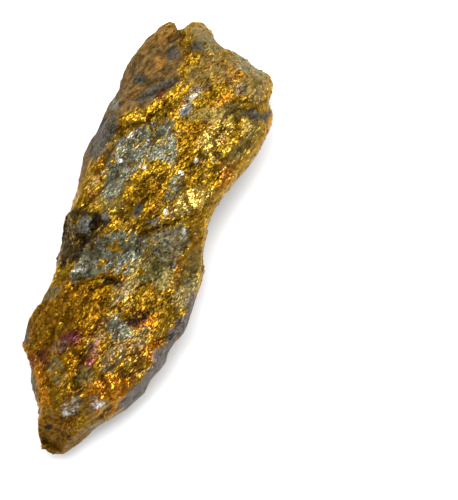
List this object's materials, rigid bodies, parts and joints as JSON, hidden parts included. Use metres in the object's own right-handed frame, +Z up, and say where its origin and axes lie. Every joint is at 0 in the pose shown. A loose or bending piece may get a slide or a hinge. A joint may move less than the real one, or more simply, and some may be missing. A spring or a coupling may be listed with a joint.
{
  "type": "chalcopyrite specimen",
  "caption": "Elongated rough lump of massive chalcopyrite ore with a waist, one blunt end and one pointed end, lying on its flattest side.",
  "frame": {"origin": "on the resting plane, under the middle of the stone's bounding box", "axes": "+Y along the stone's length towards its blunt end with two peaks, +X towards its steep grey flank, +Z up, out of the crystalline face"},
  "size_m": [0.0772, 0.2152, 0.0532],
  "materials": {
    "chalcopyrite": "rough broken ore that glitters brassy gold, with grey, brown and purple tarnish"
  },
  "bodies": {
    "root": {"chalcopyrite": "chalcopyrite"}
  },
  "joints": []
}
